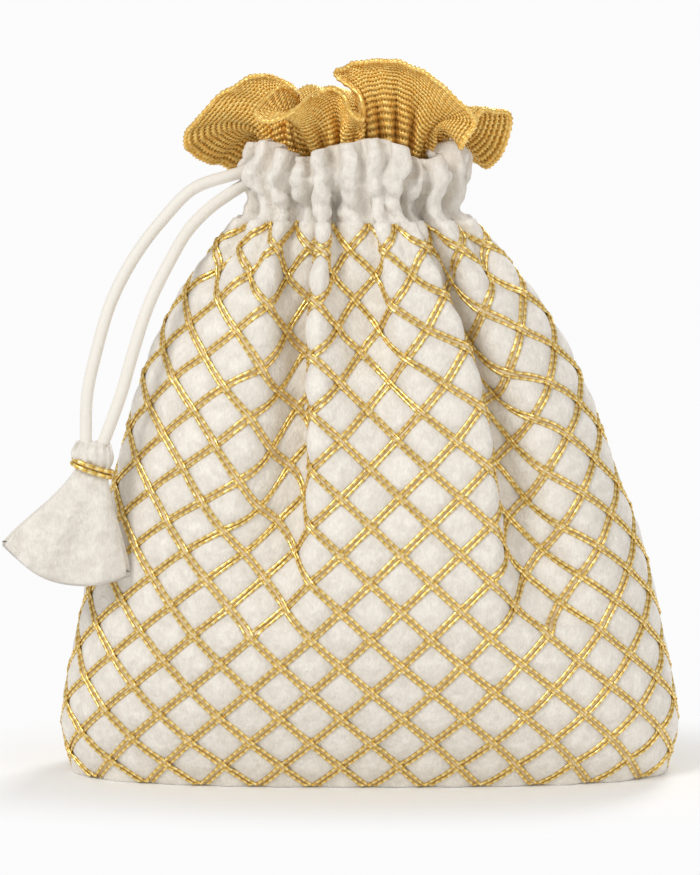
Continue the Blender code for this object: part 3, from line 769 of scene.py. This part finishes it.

# Gold frill: a band of plump metallic threads on a thin dark ground sheet, whose colour is painted
# shade in the gaps between the threads, with an overcast hem.
# It is pleated and sewn in just below the neck's lip, and rolls outwards into loose lobes.

# the hem's path: degrees round from the front, then x, y and z in millimetres
hem_route = np.array(
    (
        (-180, -4, 34, 227),
        (-152, -26, 28, 226),
        (-134, -36, 21, 210),
        (-123, -43, 15, 203),
        (-112, -51, 9, 204),
        (-102, -58, 4, 207),
        (-93, -61, 0, 212),
        (-83, -56, -4, 220),
        (-73, -46, -7, 229),
        (-63, -36, -9, 233),
        (-55, -28, -9, 231),
        (-49, -24, -13, 227),
        (-43, -30, -19, 229),
        (-37, -37, -25, 222),
        (-31, -32, -31, 219),
        (-25, -24, -28, 223),
        (-20, -19, -21, 227),
        (-15, -13, -18, 229),
        (-10, -8, -20, 226),
        (-6, -6, -26, 221),
        (-2, -2, -24, 220),
        (2, -4, -17, 227),
        (7, -11, -13, 233),
        (14, -8, -15, 236),
        (24, 2, -19, 238),
        (36, 14, -23, 236),
        (47, 24, -27, 229),
        (57, 33, -29, 219),
        (66, 29, -27, 211),
        (76, 31, -16, 216),
        (86, 38, -8, 222),
        (96, 46, 0, 219),
        (107, 42, 8, 205),
        (120, 34, 16, 205),
        (142, 22, 28, 226),
        (162, 8, 33, 227),
        (180, -4, 34, 227),
    ),
    dtype=float,
)
hem_count = 720
frill_rows = 22  # rows of thread on each face
hem_turn = np.linspace(-180, 180, hem_count + 1)[:-1]
hem = np.array([smooth_curve(hem_route[:, 0], hem_route[:, 1:], a) for a in hem_turn]) / 1000
hem_angle = np.radians(hem_turn)
hem[:, 2] += 0.0002 * np.sin(31 * hem_angle) + 0.0002 * np.sin(47 * hem_angle + 1)
root_half_width, root_half_depth, root_rise = 0.0245, 0.0150, 0.0190
root = np.column_stack(
    [
        neck_shift + root_half_width * np.sin(hem_angle),
        -root_half_depth * np.cos(hem_angle),
        np.full(hem_count, throat_height + root_rise),
    ]
)
# the band rises to a knee and bends over to its hem
least_knee = 0.2230
knee = root + (hem - root) * np.array((0.25, 0.25, 0.0))
knee[:, 2] = np.maximum(hem[:, 2], least_knee) + 0.0020
share = np.linspace(0, 1, frill_rows * 2 + 1)[:, None, None]
frill_grid = (1 - share) ** 2 * root + 2 * share * (1 - share) * knee + share**2 * hem
# pleats, deepest just above the root
pleats = 30
pleat = np.sin(pleats * hem_angle + 1.1 * np.sin(3 * hem_angle))
frill_out = grid_normals(frill_grid)
way_up = share[:, :, 0]
gathered = 0.0003 + 0.0019 * np.exp(-(((way_up - 0.20) / 0.17) ** 2))
frill_grid = frill_grid + frill_out * (pleat[None, :] * gathered)[:, :, None]
frill_out = grid_normals(frill_grid)

weave_look, nodes, links, shader = new_look("gold_weave_thread", 0.34, 0.42)
place = nodes.new("ShaderNodeTexCoord").outputs["Object"]
fleck = pattern(nodes, links, "ShaderNodeTexNoise", place, 900)
dark, pale = (0.35, (0.86, 0.49, 0.09)), (0.68, (1.0, 0.73, 0.25))
tint = two_tones(nodes, links, fleck.outputs["Fac"], dark, pale)
links.new(tint.outputs["Color"], shader.inputs["Base Color"])

# the ground sheet: dark gold-brown, mottled in cells, which is painted shade in the gaps of the knit
gap_shade_look, nodes, links, shader = new_look("gold_weave_gap_shade", 0.5, 0.3)
place = nodes.new("ShaderNodeTexCoord").outputs["Object"]
mottle = pattern(nodes, links, "ShaderNodeTexVoronoi", place, 1100)
pale, dark = (0.0, (0.56, 0.31, 0.07)), (1.0, (0.24, 0.12, 0.02))
tint = two_tones(nodes, links, mottle.outputs["Distance"], pale, dark)
links.new(tint.outputs["Color"], shader.inputs["Base Color"])


def grid_sheet(name, points, look):
    """A mesh of rings that each close on themselves, such as cloth round an opening."""
    quads = ring_faces(len(points), points.shape[1])
    mesh = bpy.data.meshes.new(name)
    mesh.from_pydata(points.reshape(-1, 3).tolist(), [], quads)
    mesh.shade_smooth()
    mesh.materials.append(look)
    made = bpy.data.objects.new(name, mesh)
    scene.collection.objects.link(made)
    return made


# the dark ground sheet, which shows as painted shade between the threads
frill = grid_sheet("frill_ground", frill_grid[:, ::2], gap_shade_look)
solid = frill.modifiers.new("thickness", "SOLIDIFY")
solid.thickness = 0.0004
solid.offset = 0.0

# rows of thread on both faces; each thread swells and thins in a beat of three points
loop = np.concatenate([np.arange(hem_count), [0]])
swell = np.arange(hem_count) * 2 * math.pi / 3
frill_down = np.gradient(frill_grid, axis=0)
frill_down /= np.linalg.norm(frill_down, axis=2)[:, :, None]
weaves = []
for face_name, face_side in (("outer", 1), ("inner", -1)):
    threads = []
    for row in range(frill_rows):
        k = 2 * row + 1
        facing, downward = frill_out[k] * face_side, frill_down[k]
        weave = np.cos(swell + row * 2.1)
        core = frill_grid[k] + facing * (0.00040 + 0.00010 * weave)[:, None]
        core = core + downward * (0.00010 * weave)[:, None]
        pitch = np.linalg.norm(frill_grid[k + 1] - frill_grid[k - 1], axis=1)
        plump = (1 + 0.25 * weave)[:, None]
        wide = (0.56 * pitch)[:, None]
        corners = ((1, 0), (0, 1), (-1, 0), (0, -1))
        threads.append(
            np.stack(
                [core + (downward * wide * a + facing * (0.00030 * b)) * plump for a, b in corners],
                axis=1,
            )[loop]
        )
    along = np.tile(np.linspace(0, 0.33, hem_count + 1), (frill_rows, 1))
    weaves.append(
        strip_mesh(f"frill_threads_{face_name}", np.array(threads), True, along, weave_look)
    )

# the overcast hem: a beaded edge wound round the last row
hem_ring = []
hem_facing, hem_down = frill_out[-1], frill_down[-1]
bulge = 0.00080 + 0.00028 * np.cos(swell)
hem_sides = 8
for a in np.arange(hem_sides) * 2 * math.pi / hem_sides:
    hem_ring.append(
        frill_grid[-1]
        + hem_down * (bulge * math.cos(a))[:, None]
        + hem_facing * (bulge * math.sin(a))[:, None]
    )
hem_tube = np.stack(hem_ring, axis=1)[loop][None]
overcast = strip_mesh(
    "frill_overcast_hem", hem_tube, True, np.linspace(0, 0.36, hem_count + 1)[None], weave_look
)
for made in (frill, *weaves, overcast):
    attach(made, "root")
    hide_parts("gold_frill")

# Drawstring: one loop of 4 mm piping cord covered in ivory satin, seen as two strands.
# They come out of the neck at the left, and their ends are bound into the tassel's tuft.
cord_look, nodes, links, shader = new_look("ivory_piping_cord", 0.6)
shader.inputs["Base Color"].default_value = (0.84, 0.80, 0.73, 1)
shader.inputs["Sheen Weight"].default_value = 0.25
run = nodes.new("ShaderNodeAttribute")
run.attribute_name = "along"
place = nodes.new("ShaderNodeTexCoord").outputs["Object"]
slub = pattern(nodes, links, "ShaderNodeTexNoise", place, 500, Detail=4)
cord_split = nodes.new("ShaderNodeSeparateXYZ")
links.new(run.outputs["Vector"], cord_split.inputs[0])
wale = nodes.new("ShaderNodeMath")
wale.operation = "MULTIPLY"
wale.inputs[1].default_value = 2 * math.pi * 900
links.new(cord_split.outputs["X"], wale.inputs[0])
wale_wave = nodes.new("ShaderNodeMath")
wale_wave.operation = "SINE"
links.new(wale.outputs[0], wale_wave.inputs[0])
cord_height = nodes.new("ShaderNodeMath")
cord_height.operation = "MULTIPLY_ADD"
cord_height.inputs[1].default_value = 0.06
links.new(wale_wave.outputs[0], cord_height.inputs[0])
links.new(slub.outputs["Fac"], cord_height.inputs[2])
cord_relief = relief(nodes, links, cord_height.outputs[0], 0.45, 0.0004)
links.new(cord_relief.outputs["Normal"], shader.inputs["Normal"])

# each strand's route from the neck to the tuft
strand_routes = {
    "drawstring_upper": (
        (-0.0405, -0.0068, 0.2022),
        (-0.0450, -0.0080, 0.2010),
        (-0.0580, -0.0110, 0.1965),
        (-0.0673, -0.0140, 0.1873),
        (-0.0767, -0.0180, 0.1750),
        (-0.0840, -0.0220, 0.1610),
        (-0.0887, -0.0260, 0.1453),
        (-0.0917, -0.0290, 0.1313),
        (-0.0923, -0.0300, 0.1150),
    ),
    "drawstring_lower": (
        (-0.0405, -0.0058, 0.1982),
        (-0.0450, -0.0080, 0.1955),
        (-0.0523, -0.0120, 0.1905),
        (-0.0590, -0.0160, 0.1838),
        (-0.0653, -0.0220, 0.1733),
        (-0.0720, -0.0265, 0.1593),
        (-0.0767, -0.0290, 0.1450),
        (-0.0807, -0.0300, 0.1313),
        (-0.0868, -0.0300, 0.1150),
    ),
}


def tube_rings(path, radius, sides):
    """Rings round a path, turned as little as they can be along it."""
    ahead = np.gradient(path, axis=0)
    ahead /= np.linalg.norm(ahead, axis=1)[:, None]
    side = np.cross(ahead[0], (0.0, 1.0, 0.0))
    rings = []
    for point, way in zip(path, ahead):
        side = side - way * side.dot(way)
        side /= np.linalg.norm(side)
        other = np.cross(way, side)
        turn_at = np.arange(sides) * 2 * math.pi / sides
        rings.append(
            point + radius * (np.cos(turn_at)[:, None] * side + np.sin(turn_at)[:, None] * other)
        )
    return np.array(rings)


cord_diameter = 0.004
for name, route in strand_routes.items():
    route = np.array(route)
    knots = np.concatenate([[0], np.cumsum(np.linalg.norm(np.diff(route, axis=0), axis=1))])
    places = np.linspace(0, knots[-1], 120)
    path = np.array([smooth_curve(knots, route, at) for at in places])
    rings = tube_rings(path, cord_diameter / 2, 16)
    strand = strip_mesh(f"{name}_cord", rings[None], True, places[None], cord_look)
    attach(strand, "root")
    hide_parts(name)

# Tassel: two layers of the pouch's velvet, folded over the cord's ends into a flat skirt.
# Gold thread, wound twice round the throat, ties it to the cord.
tassel_depth = -0.0300
# x and z of the left end, x and z of the right end, sag between them, half thickness
tassel_sections = np.array(
    (
        (-0.0955, 0.1157, -0.0840, 0.1146, 0.0000, 0.0026),
        (-0.0972, 0.1120, -0.0833, 0.1100, 0.0000, 0.0040),
        (-0.0955, 0.1090, -0.0850, 0.1058, 0.0000, 0.0028),
        (-0.0968, 0.1056, -0.0848, 0.1018, 0.0000, 0.0032),
        (-0.1030, 0.0985, -0.0832, 0.0935, 0.0015, 0.0040),
        (-0.1120, 0.0905, -0.0805, 0.0830, 0.0040, 0.0038),
        (-0.1205, 0.0830, -0.0778, 0.0725, 0.0075, 0.0028),
    )
)
skirt_columns = 160
skirt_turn = np.arange(skirt_columns) * 2 * math.pi / skirt_columns
skirt = []
for at in np.linspace(0, 6, 61):
    left_x, left_z, right_x, right_z, sag, thick = smooth_curve(
        np.arange(7.0), tassel_sections, at
    )
    low_end, high_end = np.array((left_x, left_z)), np.array((right_x, right_z))
    middle, reach = (low_end + high_end) / 2, (high_end - low_end) / 2
    hang = np.array((reach[1], -reach[0])) / np.linalg.norm(reach)
    width = np.cos(skirt_turn)
    face = np.sign(np.sin(skirt_turn)) * np.abs(np.sin(skirt_turn)) ** 0.55
    fan = float(ease(at, 2.6, 6.0))
    tied = math.exp(-(((at - 2) / 0.8) ** 2)) + 0.8 * math.exp(-((at / 0.8) ** 2))
    ripple = 0.0011 * fan * np.sin(6 * width + 0.5) + 0.0004 * tied * np.sin(14 * skirt_turn)
    # a groove between the two layers; the back one is wider, and the corners are rounded
    groove = 1 - 0.10 * np.exp(-((np.sin(skirt_turn) / 0.10) ** 2)) * fan
    behind = np.tanh(6 * np.sin(skirt_turn))
    corner = 1 - 0.035 * max(0.0, (at - 5.3) / 0.7) ** 2
    groove = groove * (1 + 0.035 * fan * behind) * corner
    flat = middle + (width * groove)[:, None] * reach + (sag * (1 - width**2))[:, None] * hang
    flat = flat + (0.0006 * tied * np.sin(9 * skirt_turn))[:, None] * hang
    skirt.append(np.column_stack([flat[:, 0], tassel_depth + thick * face + ripple, flat[:, 1]]))
skirt = np.array(skirt)
top_in = skirt[0] * 0.5 + skirt[0].mean(axis=0) * 0.5 + np.array((0, 0, 0.0008))
hem_mid = skirt[-1].copy()
hem_mid[:, 1] = tassel_depth + (hem_mid[:, 1] - tassel_depth) * 0.55
hem_mid[:, 2] -= 0.0012
hem_in = skirt[-1].copy()
hem_in[:, 1] = tassel_depth + (hem_in[:, 1] - tassel_depth) * 0.18
hem_in[:, 2] += 0.0006
skirt = np.concatenate([top_in[None], skirt, hem_mid[None], hem_in[None]])
tassel = grid_sheet("tassel_velvet_skirt", skirt[:, ::-1], velvet_look)

# the tuft's top and the hem's underside are closed
caps = bmesh.new()
caps.from_mesh(tassel.data)
bmesh.ops.holes_fill(caps, edges=[e for e in caps.edges if e.is_boundary], sides=0)
bmesh.ops.recalc_face_normals(caps, faces=caps.faces)
caps.to_mesh(tassel.data)
caps.free()
tassel.data.shade_smooth()
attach(tassel, "root")
# an even middle level of the velvet's painted puff highlight and dip shade
puff_shading_layer = tassel.data.attributes.new("puff_shading_mask", "FLOAT", "POINT")
puff_shading_layer.data.foreach_set("value", np.full(len(tassel.data.vertices), 0.5))
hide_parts("tassel_velvet")

# the tie, at the throat, which is the third of the tassel's sections
tie_left, tie_right = tassel_sections[2, :2], tassel_sections[2, 2:4]
tie_middle, tie_reach = (tie_left + tie_right) / 2, (tie_right - tie_left) / 2
tie_hang = np.array((tie_reach[1], -tie_reach[0])) / np.linalg.norm(tie_reach)
tie_points, tie_radius, tie_length = 161, 0.00075, 0.068
tie_turn = np.linspace(0.5 * math.pi, 4.5 * math.pi, tie_points)
tie_flat = (
    tie_middle
    + (np.cos(tie_turn) * 1.22)[:, None] * tie_reach
    + ((tie_turn / (2 * math.pi) - 1.25) * 0.0017)[:, None] * tie_hang
)
tie_path = np.column_stack(
    [tie_flat[:, 0], tassel_depth + 0.0042 * np.sin(tie_turn), tie_flat[:, 1]]
)
tie = strip_mesh(
    "tassel_gold_tie",
    tube_rings(tie_path, tie_radius, 10)[None],
    True,
    np.linspace(0, tie_length, tie_points)[None],
    gold_cord_look,
)
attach(tie, "root")
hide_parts("tassel_tie")

low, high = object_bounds()
